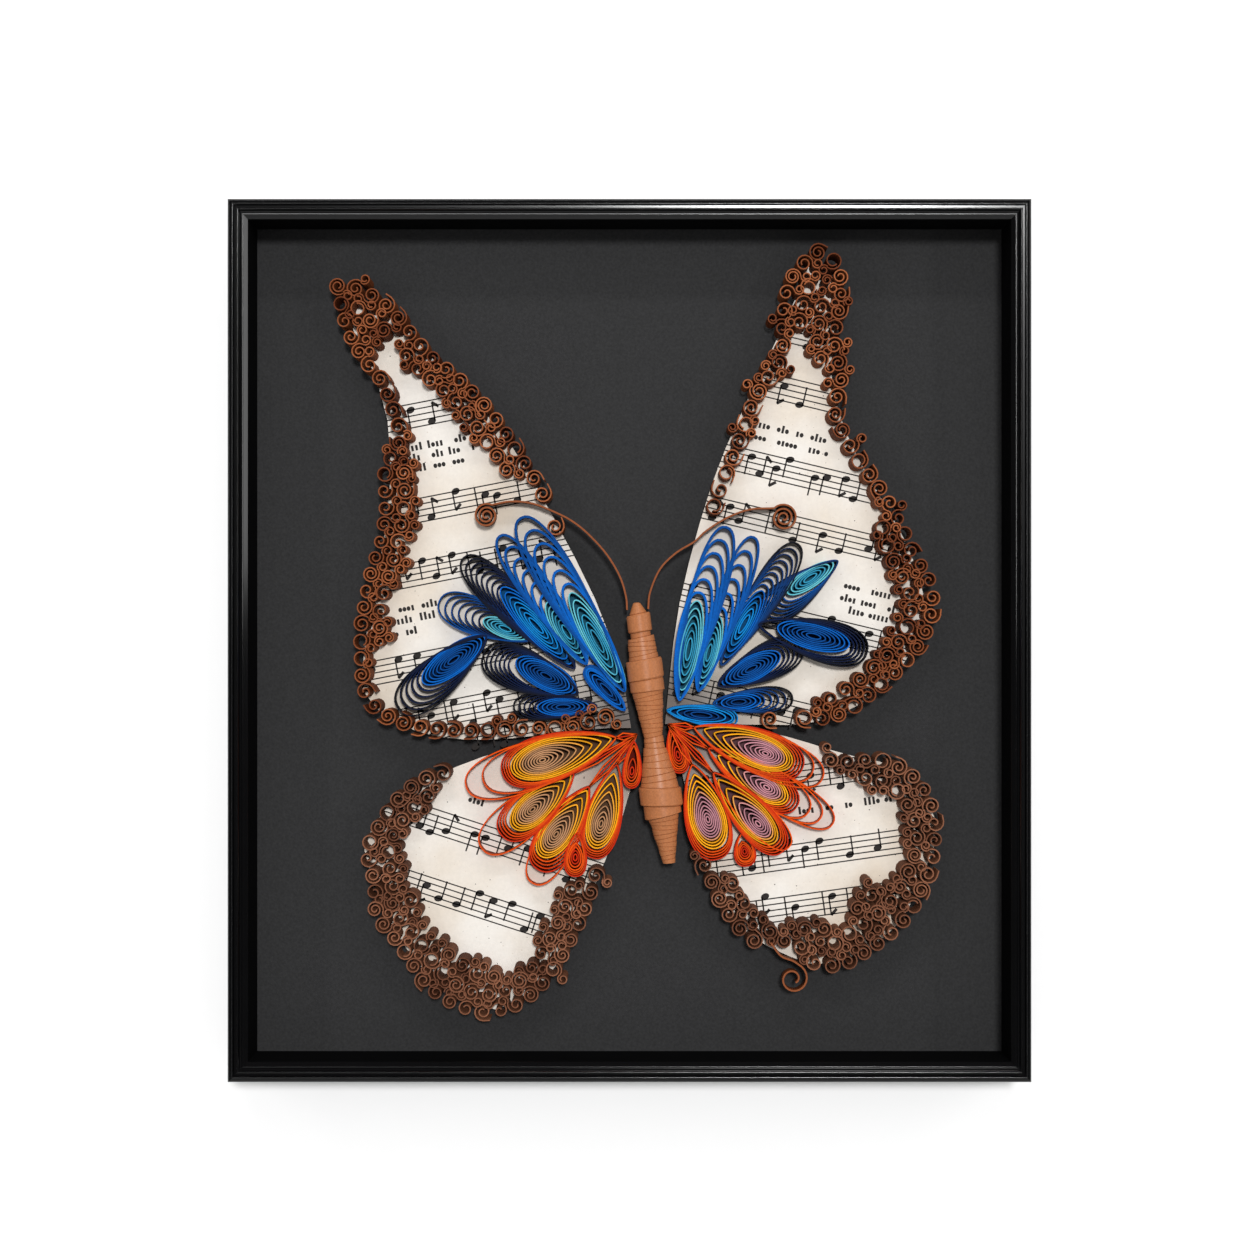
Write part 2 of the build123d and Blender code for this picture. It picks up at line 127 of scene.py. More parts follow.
def new_group(name, inputs, outputs):
    """Empty shader group with its named sockets, and its input and output nodes."""
    group = bpy.data.node_groups.new(name, "ShaderNodeTree")
    for label, kind, value in inputs:
        socket = group.interface.new_socket(label, in_out="INPUT", socket_type=kind)
        socket.default_value = value
    for label, kind in outputs:
        group.interface.new_socket(label, in_out="OUTPUT", socket_type=kind)
    return group, group.nodes.new("NodeGroupInput"), group.nodes.new("NodeGroupOutput")


def make_fibre_group():
    """Paper fibre: mottles a colour and raises a fine grain."""
    group, entry, result = new_group(
        "paper_fibre",
        [("Color", "NodeSocketColor", (0.8, 0.8, 0.8, 1)), ("Scale", "NodeSocketFloat", 900.0),
         ("Mottle", "NodeSocketFloat", 0.25)],
        [("Color", "NodeSocketColor"), ("Height", "NodeSocketFloat")],
    )
    nodes, links = group.nodes, group.links
    place = nodes.new("ShaderNodeTexCoord")
    grain = nodes.new("ShaderNodeTexNoise")
    grain.inputs["Detail"].default_value = 6
    grain.inputs["Roughness"].default_value = 0.65
    links.new(place.outputs["Object"], grain.inputs["Vector"])
    links.new(entry.outputs["Scale"], grain.inputs["Scale"])
    dark = nodes.new("ShaderNodeMapRange")
    dark.inputs["From Min"].default_value = 0.3
    dark.inputs["From Max"].default_value = 0.7
    dark.inputs["To Max"].default_value = 1.0
    links.new(grain.outputs["Fac"], dark.inputs["Value"])
    floor = nodes.new("ShaderNodeMath")
    floor.operation = "SUBTRACT"
    floor.inputs[0].default_value = 1.0
    links.new(entry.outputs["Mottle"], floor.inputs[1])
    links.new(floor.outputs[0], dark.inputs["To Min"])
    tone = nodes.new("ShaderNodeVectorMath")
    tone.operation = "SCALE"
    links.new(entry.outputs["Color"], tone.inputs[0])
    links.new(dark.outputs["Result"], tone.inputs["Scale"])
    links.new(tone.outputs[0], result.inputs["Color"])
    links.new(grain.outputs["Fac"], result.inputs["Height"])
    return group


FIBRE = make_fibre_group()
GRAIN_DEPTH = 0.1 * MM


def new_material(name, roughness):
    """Material with its Principled shader, node tree and links."""
    made = bpy.data.materials.new(name)
    made.use_nodes = True
    shader = made.node_tree.nodes["Principled BSDF"]
    shader.inputs["Roughness"].default_value = roughness
    return made, made.node_tree.nodes, made.node_tree.links, shader


def add_fibre(nodes, links, shader, scale, mottle, bump):
    """Places the paper fibre before a shader, and returns the fibre node."""
    fibre = nodes.new("ShaderNodeGroup")
    fibre.node_tree = FIBRE
    fibre.inputs["Scale"].default_value = scale
    fibre.inputs["Mottle"].default_value = mottle
    links.new(fibre.outputs["Color"], shader.inputs["Base Color"])
    raised = nodes.new("ShaderNodeBump")
    raised.inputs["Strength"].default_value = bump
    raised.inputs["Distance"].default_value = GRAIN_DEPTH
    links.new(fibre.outputs["Height"], raised.inputs["Height"])
    links.new(raised.outputs["Normal"], shader.inputs["Normal"])
    return fibre


def make_strip_paper(name, roughness, specular, painted_light_strength):
    """Quilling strip, in the tint that each strip carries times a strength of painted light: below 1 it
    paints shade, above 1 a highlight.
    """
    made, nodes, links, shader = new_material(name, roughness)
    shader.inputs["Specular IOR Level"].default_value = specular
    fibre = add_fibre(nodes, links, shader, scale=1500, mottle=0.3, bump=0.25)
    tint = nodes.new("ShaderNodeAttribute")
    tint.attribute_name = "strip_tint"
    painted_light_mix = nodes.new("ShaderNodeMix")
    painted_light_mix.data_type = "RGBA"
    painted_light_mix.blend_type = "MULTIPLY"
    painted_light_mix.inputs["Factor"].default_value = 1
    painted_light_mix.inputs["B"].default_value = (painted_light_strength, painted_light_strength, painted_light_strength, 1)
    links.new(tint.outputs["Color"], painted_light_mix.inputs["A"])
    links.new(painted_light_mix.outputs["Result"], fibre.inputs["Color"])
    return made


def make_plain_paper(name, colour, roughness, scale, mottle, bump):
    """Paper, board, foam or ink in one colour."""
    made, nodes, links, shader = new_material(name, roughness)
    fibre = add_fibre(nodes, links, shader, scale, mottle, bump)
    fibre.inputs["Color"].default_value = (*colour, 1)
    return made


# Where the wings meet, and how far from there the painted shade on the paper is darkest and where it ends
WINGS_MEET_PX = (655, 728)
SHADE_DARKEST_PX = 30
SHADE_REACH_PX = 125


def make_aged_paper():
    """Cream sheet, browned in soft clouds, flecked, and darkened with painted shade where the wings meet."""
    made, nodes, links, shader = new_material("aged_paper", 0.85)
    place = nodes.new("ShaderNodeTexCoord")
    clouds = nodes.new("ShaderNodeTexNoise")
    clouds.inputs["Scale"].default_value = 28
    clouds.inputs["Detail"].default_value = 5
    links.new(place.outputs["Object"], clouds.inputs["Vector"])
    tone = nodes.new("ShaderNodeValToRGB")
    tone.color_ramp.elements[0].position = 0.30
    tone.color_ramp.elements[0].color = (*shade(230, 216, 198), 1)
    tone.color_ramp.elements[1].position = 0.62
    tone.color_ramp.elements[1].color = (*shade(246, 240, 232), 1)
    links.new(clouds.outputs["Fac"], tone.inputs["Fac"])
    flecks = nodes.new("ShaderNodeTexVoronoi")
    flecks.inputs["Scale"].default_value = 420
    links.new(place.outputs["Object"], flecks.inputs["Vector"])
    fleck_size = nodes.new("ShaderNodeMapRange")
    fleck_size.inputs["From Min"].default_value = 0.04
    fleck_size.inputs["From Max"].default_value = 0.12
    fleck_size.inputs["To Min"].default_value = 0.35
    fleck_size.inputs["To Max"].default_value = 0.0
    links.new(flecks.outputs["Distance"], fleck_size.inputs["Value"])
    stain = nodes.new("ShaderNodeMix")
    stain.data_type = "RGBA"
    stain.inputs["B"].default_value = (*shade(170, 140, 110), 1)
    links.new(fleck_size.outputs["Result"], stain.inputs["Factor"])
    links.new(tone.outputs["Color"], stain.inputs["A"])
    # Painted shade: the paper is darkened towards warm grey round the place where the wings meet
    heart = art(*WINGS_MEET_PX)
    reach = nodes.new("ShaderNodeVectorMath")
    reach.operation = "DISTANCE"
    reach.inputs[1].default_value = (heart.x, WING_FACE, heart.y)
    links.new(place.outputs["Object"], reach.inputs[0])
    painted_shade_amount = nodes.new("ShaderNodeMapRange")
    painted_shade_amount.interpolation_type = "SMOOTHSTEP"
    painted_shade_amount.inputs["From Min"].default_value = SHADE_DARKEST_PX * PIXEL
    painted_shade_amount.inputs["From Max"].default_value = SHADE_REACH_PX * PIXEL
    painted_shade_amount.inputs["To Min"].default_value = 0.85
    painted_shade_amount.inputs["To Max"].default_value = 0.0
    links.new(reach.outputs["Value"], painted_shade_amount.inputs["Value"])
    painted_shade = nodes.new("ShaderNodeMix")
    painted_shade.data_type = "RGBA"
    painted_shade.inputs["B"].default_value = (*shade(92, 82, 78), 1)
    links.new(painted_shade_amount.outputs["Result"], painted_shade.inputs["Factor"])
    links.new(stain.outputs["Result"], painted_shade.inputs["A"])
    fibre = add_fibre(nodes, links, shader, scale=700, mottle=0.08, bump=0.2)
    links.new(painted_shade.outputs["Result"], fibre.inputs["Color"])
    return made


def make_lacquer(name, roughness, specular):
    """Black lacquer, a little cloudy."""
    made, nodes, links, shader = new_material(name, roughness)
    shader.inputs["Specular IOR Level"].default_value = specular
    place = nodes.new("ShaderNodeTexCoord")
    cloud = nodes.new("ShaderNodeTexNoise")
    cloud.inputs["Scale"].default_value = 90
    cloud.inputs["Detail"].default_value = 4
    links.new(place.outputs["Object"], cloud.inputs["Vector"])
    tone = nodes.new("ShaderNodeValToRGB")
    tone.color_ramp.elements[0].color = (*shade(4, 4, 5), 1)
    tone.color_ramp.elements[1].color = (*shade(9, 9, 10), 1)
    links.new(cloud.outputs["Fac"], tone.inputs["Fac"])
    links.new(tone.outputs["Color"], shader.inputs["Base Color"])
    return made


def make_steel():
    """Bright steel with fine rolling marks."""
    made, nodes, links, shader = new_material("bright_steel", 0.3)
    shader.inputs["Metallic"].default_value = 1.0
    place = nodes.new("ShaderNodeTexCoord")
    stretch = nodes.new("ShaderNodeMapping")
    stretch.inputs["Scale"].default_value = (60, 900, 2400)
    links.new(place.outputs["Object"], stretch.inputs["Vector"])
    marks = nodes.new("ShaderNodeTexNoise")
    marks.inputs["Scale"].default_value = 1.0
    links.new(stretch.outputs["Vector"], marks.inputs["Vector"])
    tone = nodes.new("ShaderNodeValToRGB")
    tone.color_ramp.elements[0].color = (*shade(160, 160, 158), 1)
    tone.color_ramp.elements[1].color = (*shade(214, 213, 208), 1)
    links.new(marks.outputs["Fac"], tone.inputs["Fac"])
    links.new(tone.outputs["Color"], shader.inputs["Base Color"])
    return made


aged_paper = make_aged_paper()
lacquer = make_lacquer("black_lacquer", roughness=0.14, specular=0.5)
dull_black = make_lacquer("dull_black", roughness=0.9, specular=0.05)
steel = make_steel()
# Painted light on the strips: walls darkened to 0.6 of their tint as painted shade, cut edges lightened to
# 1.12 as a painted highlight
strip_paper_painted_shade = make_strip_paper("strip_paper_painted_shade", roughness=0.6, specular=0.08, painted_light_strength=0.6)
strip_edge_painted_highlight = make_strip_paper("strip_edge_painted_highlight", roughness=0.6, specular=0.08, painted_light_strength=1.12)
body_paper = make_strip_paper("wound_paper", roughness=0.4, specular=0.35, painted_light_strength=1.0)
card_stock = make_plain_paper(
    "charcoal_card", shade(48, 48, 49), roughness=0.95, scale=1100, mottle=0.45, bump=0.5
)
hardboard = make_plain_paper(
    "hardboard", shade(126, 92, 62), roughness=0.8, scale=500, mottle=0.35, bump=0.4
)
foam = make_plain_paper(
    "white_foam", shade(236, 236, 232), roughness=0.9, scale=1600, mottle=0.12, bump=0.5
)
ink = make_plain_paper(
    "printed_ink", shade(40, 34, 31), roughness=0.8, scale=1800, mottle=0.5, bump=0.1
)


# Meshes

def place_piece(bm, name, finish, slot, *nodes):
    """Turns a bmesh into a piece of the object that stands for the given CAD nodes."""
    mesh = bpy.data.meshes.new(name)
    bm.to_mesh(mesh)
    bm.free()
    mesh.materials.append(finish)
    piece = bpy.data.objects.new(name, mesh)
    scene.collection.objects.link(piece)
    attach(piece, "root")
    if nodes:
        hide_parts(*nodes)
    return piece


def new_strips():
    """Bmesh for strips on edge, and the layer that holds each strip's tint."""
    bm = bmesh.new()
    return bm, bm.loops.layers.float_color.new("strip_tint")


def add_strip(bm, layer, points, tint, closed=False, front=STRIP_FRONT, lean=(0, 0)):
    """Stands a strip of paper on edge along flat points. Its front edge may lean to a side."""
    verts = [bm.verts.new((point[0], WING_FACE, point[1])) for point in points]
    pairs = list(zip(verts, verts[1:]))
    if closed:
        pairs.append((verts[-1], verts[0]))
    edges = [bm.edges.new(pair) for pair in pairs]
    raised = bmesh.ops.extrude_edge_only(bm, edges=edges)["geom"]
    tops = [item for item in raised if isinstance(item, bmesh.types.BMVert)]
    bmesh.ops.translate(bm, verts=tops, vec=(lean[0], front - WING_FACE, lean[1]))
    for face in raised:
        if isinstance(face, bmesh.types.BMFace):
            for corner in face.loops:
                corner[layer] = (*tint, 1)


def thicken(piece, thickness):
    """Gives the strips of a piece their paper thickness, and cut edges lighter than the walls as a painted
    highlight.
    """
    piece.data.materials.append(strip_edge_painted_highlight)
    wall = piece.modifiers.new("paper", "SOLIDIFY")
    wall.thickness = thickness
    wall.offset = 0
    wall.material_offset_rim = 1


def vary(tint, amount=0.12):
    """A tint a little lighter or darker than the one given."""
    change = 1 + chance.uniform(-amount, amount)
    return tuple(value * change for value in tint)


def leaf_points(base, tip, width, base_sharp, tip_sharp, count):
    """Points round a pinched loop. Sharpness 1 rounds an end, 2 and more draws it to a point."""
    axis = tip - base
    side = Vector((-axis.y, axis.x)).normalized()
    widest = base_sharp / (base_sharp + tip_sharp)
    crest = widest ** (base_sharp / 2) * (1 - widest) ** (tip_sharp / 2)
    points = []
    for step in range(count):
        turn = math.pi * step / count
        out = math.sin(turn) ** base_sharp * abs(math.cos(turn)) ** tip_sharp / crest
        hand = 1 if turn < math.pi / 2 else -1
        points.append(base + axis * math.sin(turn) ** 2 + side * hand * out * width / 2)
    return points


def spiral_points(centre, first_radius, last_radius, first_angle, turns, steps_per_turn):
    """Points of a roll that tightens towards its centre. Negative turns run clockwise."""
    steps = max(6, int(abs(turns) * steps_per_turn))
    points = []
    for step in range(steps + 1):
        angle = first_angle + math.tau * turns * step / steps
        radius = first_radius + (last_radius - first_radius) * step / steps
        points.append(centre + heading(angle) * radius)
    return points


def smooth_route(points, steps):
    """Points of a smooth curve through the given ones."""
    ends = [points[0] * 2 - points[1], *points, points[-1] * 2 - points[-2]]
    route = []
    for before, start, end, after in zip(ends, ends[1:], ends[2:], ends[3:]):
        for step in range(steps):
            t = step / steps
            route.append(
                (start * 2 + (end - before) * t + (before * 2 - start * 5 + end * 4 - after) * t * t
                 + (start * 3 - before - end * 3 + after) * t ** 3) / 2
            )
    return route + [points[-1]]


def merged_copy(node):
    """Bmesh of a CAD node with its corners joined."""
    bm = bmesh.new()
    bm.from_mesh(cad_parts[node].data)
    bmesh.ops.remove_doubles(bm, verts=bm.verts, dist=WELD)
    return bm


def wing_outline(wing):
    """Edges round the front face of a wing, as pairs of flat points."""
    bm = merged_copy(wing)
    bm.normal_update()
    pairs = []
    for edge in bm.edges:
        front = [face for face in edge.link_faces if face.normal.y < -0.9]
        if len(front) == 1 and len(edge.link_faces) == 2:
            pairs.append(tuple(Vector((vert.co.x, vert.co.z)) for vert in edge.verts))
    bm.free()
    return pairs


def inside_runs(start, along, outline):
    """Stretches of a line, as distances from its start, that lie inside an outline."""
    across = Vector((-along.y, along.x))
    cuts = []
    for first, last in outline:
        a, b = across.dot(first - start), across.dot(last - start)
        if (a > 0) != (b > 0):
            meet = first + (last - first) * (a / (a - b))
            cuts.append(along.dot(meet - start))
    cuts.sort()
    return list(zip(cuts[::2], cuts[1::2]))


def is_inside(place, outline):
    """Whether a flat point lies inside an outline."""
    return any(begin < 0 < end for begin, end in inside_runs(place, Vector((1, 0)), outline))


# Border scrolls: one rolled strip for each coil of the frame, and smaller rolls in the gaps

def coil_places(node):
    """Middle and radius of each coil of a border, read from a merged copy of its mesh."""
    bm = merged_copy(node)
    places = []
    seen = set()
    for first in bm.verts:
        if first in seen:
            continue
        seen.add(first)
        found = [first]
        for vert in found:
            for edge in vert.link_edges:
                other = edge.other_vert(vert)
                if other not in seen:
                    seen.add(other)
                    found.append(other)
        middle = sum((vert.co for vert in found), Vector()) / len(found)
        radius = max((Vector((vert.co.x - middle.x, vert.co.z - middle.z))).length for vert in found)
        places.append((Vector((middle.x, middle.z)), radius))
    bm.free()
    return sorted(places, key=lambda place: (place[0].x, place[0].y))


SCROLL_SPLAY = 0.010
SCROLL_UNEVEN = 0.6 * MM
SCROLL_PAPER = 0.45 * MM
SCROLL_STEPS = 14
SCROLL_TURNS = (1.3, 2.2)
OPEN_RING_TURNS = 1.25
SMALL_ROLL_STEPS = 12
SIDES_TRIED = 24

# Shares of a coil's radius
SCROLL_REACH = (1.02, 1.18)
SCROLL_HEART = (0.14, 0.34)
OPEN_RING_HEART = 0.62
SMALL_ROLL_SHARE = 0.68
ROOM_NEEDED = 1.1
NEIGHBOUR_REACH = 2.0

# How often a scroll is an open ring, and a small roll strays from the rest
OPEN_RING_CHANCE = 0.15
STRAY_CHANCE = 0.008


def free_side(middle, radius, taken, outline):
    """Angle and place of the closest gap between scrolls that holds a small roll, if there is one."""
    gaps = []
    for step in range(SIDES_TRIED):
        angle = math.tau * step / SIDES_TRIED
        place = middle + heading(angle) * radius * (1 + SMALL_ROLL_SHARE)
        rooms = sorted((other - place).length / radius for other in taken if other != middle)
        nestled = is_inside(place, outline) and rooms[1] < NEIGHBOUR_REACH
        if rooms[0] > ROOM_NEEDED and (nestled or chance.random() < STRAY_CHANCE):
            gaps.append((rooms[0], angle, place))
    return min(gaps, key=lambda gap: gap[0])[1:] if gaps else None


def add_scroll(bm, layer, points, middle, shades):
    """Stands one scroll, leaning a little away from the middle of the picture."""
    front = STRIP_FRONT + chance.uniform(0, SCROLL_UNEVEN)
    lean = (middle - Vector((0, CENTRE_Z))) * SCROLL_SPLAY
    add_strip(bm, layer, points, between(*shades, chance.random()), front=front, lean=lean)


def make_border(wing, shades):
    """Scrolls of one wing. Each strip is rolled at one end, and at the other too where there is a gap."""
    bm, layer = new_strips()
    places = coil_places(f"{wing}_border")
    outline = wing_outline(wing)
    taken = [middle for middle, radius in places]
    for middle, radius in places:
        hand = chance.choice((1, -1))
        reach = radius * chance.uniform(*SCROLL_REACH)
        turns = hand * chance.uniform(*SCROLL_TURNS)
        heart = radius * chance.uniform(*SCROLL_HEART)
        if chance.random() < OPEN_RING_CHANCE:
            turns = hand * OPEN_RING_TURNS
            heart = radius * OPEN_RING_HEART
        gap = free_side(middle, radius, taken, outline)
        if gap:
            angle, beside = gap
            taken.append(beside)
            small = radius * SMALL_ROLL_SHARE
            end = spiral_points(beside, small, small * 0.4, angle + math.pi, hand * 1.3, SMALL_ROLL_STEPS)
            start = end[::-1]
        else:
            nearest = sorted(places, key=lambda other: (other[0] - middle).length)[1][0]
            toward = (nearest - middle).normalized()
            angle = math.atan2(toward.y, toward.x) + hand * math.pi / 2
            start = [middle + heading(angle) * reach + toward * radius * 0.8]
        roll = spiral_points(middle, reach, heart, angle, turns, SCROLL_STEPS)
        add_scroll(bm, layer, [*start, *roll], middle, shades)
    for middle, radius in places:
        gap = free_side(middle, radius, taken, outline)
        if gap:
            angle, beside = gap
            taken.append(beside)
            small = radius * SMALL_ROLL_SHARE
            turns = chance.choice((1.6, -1.6))
            roll = spiral_points(beside, small, small * 0.3, angle + math.pi, turns, SMALL_ROLL_STEPS)
            add_scroll(bm, layer, roll, beside, shades)
    border = place_piece(bm, f"{wing}_scrolls", strip_paper_painted_shade, "brown_strip", f"{wing}_border")
    thicken(border, SCROLL_PAPER)


for side in ("left", "right"):
    make_border(f"{side}_forewing", (SCROLL, DARK_SCROLL))
    make_border(f"{side}_hindwing", (UMBER, DARK_UMBER))


# Feathers, in pixels. The fan is the far end and the width of its first and last loop, then their number.
# The core is the start, the end and the width of the pressed rings inside. Loose loops reach past the
# fan, and a tail runs from the base to the place where the feathers meet

TEALS = (TEAL, DEEP_TEAL)
BLUES = (BRIGHT, ROYAL)
BRIGHTS = (ROYAL, BRIGHT)
DEEPS = (BRIGHT, SKY)
SKIES = (SKY, ROYAL)
GOLDS = (YELLOW, TAN)
PINKS = (YELLOW, MAUVE)
EMBERS = (ORANGE, RED)
FLAME = (RED, ORANGE)
LEFT_MEET = (637, 734)
RIGHT_MEET = (668, 724)
FEATHERS = {
    "left_blue_feather_1": dict(
        base=(625, 691), fan=((521, 518), 40, (566, 584), 27, 6), shades=BRIGHTS,
        core=((624, 689), (571, 593), 23), core_shades=TEALS),
    "left_blue_feather_2": dict(
        base=(587, 664), fan=((500, 536), 30, (544, 594), 25, 6), shades=BRIGHTS,
        core=((586, 662), (548, 602), 22), core_shades=TEALS),
    "left_blue_feather_3": dict(
        base=(575, 668), fan=((464, 558), 36, (500, 586), 28, 8), shades=(INK_BLACK, NAVY),
        core=((571, 663), (502, 588), 25), core_shades=DEEPS),
    "left_blue_feather_4": dict(
        base=(531, 640), fan=((440, 601), 36, (480, 618), 21, 7), shades=(ROYAL, NAVY),
        core=((527, 637), (484, 620), 17), core_shades=TEALS),
    "left_blue_feather_5": dict(
        base=(487, 636), fan=((400, 709), 42, (420, 686), 30, 5), shades=(INK_BLACK, NAVY),
        core=((485, 637), (424, 682), 27), core_shades=BLUES),
    "left_blue_feather_6": dict(
        base=(578, 693), fan=((484, 654), 44, (510, 660), 30, 7), shades=(INK_BLACK, NAVY),
        core=((576, 691), (517, 660), 27), core_shades=BLUES),
    "left_blue_feather_7": dict(
        base=(597, 706), fan=((514, 706), 27, (535, 707), 19, 5), shades=(INK_BLACK, NAVY),
        core=((589, 706), (538, 707), 17), core_shades=BLUES),
    "left_blue_feather_8": dict(
        base=(625, 710), fan=((586, 667), 19, (587, 669), 16, 2), shades=BRIGHTS,
        core=((624, 708), (589, 671), 14), core_shades=BLUES),
    "right_blue_feather_1": dict(
        base=(679, 700), fan=((726, 527), 34, (699, 592), 27, 6), shades=BRIGHTS,
        core=((680, 697), (697, 601), 23), core_shades=TEALS),
    "right_blue_feather_2": dict(
        base=(698, 691), fan=((753, 537), 28, (721, 607), 23, 6), shades=BRIGHTS,
        core=((699, 689), (718, 616), 20), core_shades=TEALS),
    "right_blue_feather_3": dict(
        base=(721, 665), fan=((797, 544), 32, (765, 585), 21, 8), shades=(INK_BLACK, ROYAL),
        core=((725, 657), (762, 591), 19), core_shades=DEEPS),
    "right_blue_feather_4": dict(
        base=(837, 561), fan=((758, 620), 36, (783, 598), 21, 7), shades=(INK_BLACK, ROYAL),
        core=((832, 563), (787, 593), 18), core_shades=TEALS),
    "right_blue_feather_5": dict(
        base=(758, 624), fan=((866, 652), 43, (852, 648), 30, 5), shades=(INK_BLACK, NAVY),
        core=((777, 627), (848, 645), 26), core_shades=BLUES),
    "right_blue_feather_6": dict(
        base=(718, 685), fan=((801, 645), 37, (783, 652), 27, 5), shades=(INK_BLACK, NAVY),
        core=((722, 683), (779, 654), 24), core_shades=BLUES),
    "right_blue_feather_7": dict(
        base=(713, 703), fan=((792, 698), 26, (764, 700), 18, 5), shades=(INK_BLACK, ROYAL),
        core=((716, 703), (760, 700), 16), core_shades=BLUES),
    "right_blue_feather_8": dict(
        base=(667, 710), fan=((737, 719), 21, (734, 718), 18, 2), shades=(SKY, SKY),
        core=((670, 711), (732, 718), 16), core_shades=SKIES),
    "left_orange_feather_1": dict(
        base=(616, 737), fan=((503, 772), 48, (510, 770), 41, 4), shades=FLAME,
        core=((611, 738), (512, 769), 38), core_shades=GOLDS,
        loose=[((467, 786), 48), ((484, 780), 46)], meet=LEFT_MEET),
    "left_orange_feather_2": dict(
        base=(574, 773), fan=((502, 834), 41, (509, 828), 34, 4), shades=FLAME,
        core=((571, 775), (513, 826), 31), core_shades=GOLDS,
        loose=[((483, 848), 42)], meet=LEFT_MEET),
    "left_orange_feather_3": dict(
        base=(589, 786), fan=((538, 868), 41, (540, 858), 33, 4), shades=FLAME,
        core=((587, 790), (541, 855), 31), core_shades=GOLDS,
        loose=[((533, 882), 36)], meet=LEFT_MEET),
    "left_orange_feather_4": dict(
        base=(617, 764), fan=((593, 857), 37, (594, 850), 31, 4), shades=FLAME,
        core=((614, 773), (595, 847), 29), core_shades=GOLDS, meet=LEFT_MEET),
    "left_orange_feather_5": dict(
        base=(634, 741), fan=((631, 787), 18, (631, 783), 14, 3), shades=FLAME,
        core=((634, 745), (631, 780), 11), core_shades=EMBERS),
    "left_orange_feather_6": dict(
        base=(577, 832), fan=((575, 875), 22, (575, 871), 17, 3), shades=FLAME,
        core=((576, 842), (575, 869), 15), core_shades=EMBERS),
    "right_orange_feather_1": dict(
        base=(694, 727), fan=((802, 767), 44, (793, 764), 36, 4), shades=FLAME,
        core=((704, 729), (791, 763), 33), core_shades=PINKS,
        loose=[((822, 777), 42), ((812, 771), 42)], meet=RIGHT_MEET),
    "right_orange_feather_2": dict(
        base=(708, 748), fan=((796, 806), 38, (788, 801), 31, 4), shades=FLAME,
        core=((718, 755), (786, 800), 28), core_shades=PINKS,
        loose=[((832, 823), 37), ((820, 817), 37), ((808, 811), 38)], meet=RIGHT_MEET),
    "right_orange_feather_3": dict(
        base=(713, 772), fan=((782, 850), 38, (776, 843), 32, 4), shades=FLAME,
        core=((718, 779), (774, 841), 29), core_shades=PINKS,
        loose=[((788, 846), 30)], meet=RIGHT_MEET),
    "right_orange_feather_4": dict(
        base=(692, 764), fan=((717, 858), 44, (717, 850), 38, 4), shades=FLAME,
        core=((694, 774), (716, 847), 35), core_shades=PINKS, meet=RIGHT_MEET),
    "right_orange_feather_5": dict(
        base=(672, 724), fan=((681, 772), 21, (680, 768), 16, 3), shades=FLAME,
        core=((673, 730), (680, 766), 14), core_shades=EMBERS),
    "right_orange_feather_6": dict(
        base=(742, 832), fan=((746, 865), 21, (746, 861), 16, 3), shades=FLAME,
        core=((742, 841), (746, 860), 14), core_shades=EMBERS),
}
RING_PITCH_PX = 1.65
PLY_PX = 1.2
LOOP_POINTS = 48
RING_POINTS = 38
LEVELS = 4
FEATHER_STEP = 0.35 * MM
FEATHER_PAPER = 0.43 * MM
LOOP_UNEVEN = 0.15 * MM
RING_UNEVEN = 0.4 * MM
SHADE_SHEET_LIFT = 0.3 * MM
TAIL_SPREAD = 1.2 * MM
TAIL_BEND = 0.35

# Sharpness of loops and rings at the base and the tip, and the share of the core's colour kept in the sheet
# under them, which is darkened as painted shade
LOOP_SHARP = 1.6
BLUE_LOOP_SHARP = 1.8
TIP_SHARP = 0.85
PRESSED_SHARP = 1.05
ROUNDED_SHEET_SHADE = 0.42
PRESSED_SHEET_SHADE = 0.7


def add_core(bm, layer, start, end, width, shades, front, rounded):
    """Pressed rings that close in on their middle. Rounded ones end as a round coil near the far end."""
    length = (end - start).length
    along = (end - start) / length
    ahead = min(0.85 * width, length / 2) if rounded else length / 2
    middle = end - along * ahead
    rings = int(width / 2 / (RING_PITCH_PX * PIXEL))
    for ring in range(rings):
        share = ring / (rings if rounded else rings + 0.5)
        left = 1 - share
        behind = ahead + (length - 2 * ahead) * left ** 1.2
        sharp = LOOP_SHARP - 0.6 * share if rounded else PRESSED_SHARP
        foot = middle - along * behind * left
        tip = middle + along * ahead * left
        points = leaf_points(foot, tip, width * left, sharp, 1.0, RING_POINTS)
        tint = vary(between(*shades, min(1, max(0, 5 * share - 1))), 0.2)
        top = front + chance.uniform(0, RING_UNEVEN)
        add_strip(bm, layer, points, tint, closed=True, front=top)
        # The outer ring closes over a sheet in the core's colour, darkened as painted shade
        if ring == 0:
            painted_light_strength = ROUNDED_SHEET_SHADE if rounded else PRESSED_SHEET_SHADE
            add_shade_sheet(bm, layer, points, tuple(value * painted_light_strength for value in shades[1]))


def add_shade_sheet(bm, layer, points, tint):
    """A sheet under the rings in the core's colour, darkened to paint the shade in the gaps between them."""
    sheet = bm.faces.new([bm.verts.new((point.x, WING_FACE - SHADE_SHEET_LIFT, point.y)) for point in points])
    for corner in sheet.loops:
        corner[layer] = (*tint, 1)


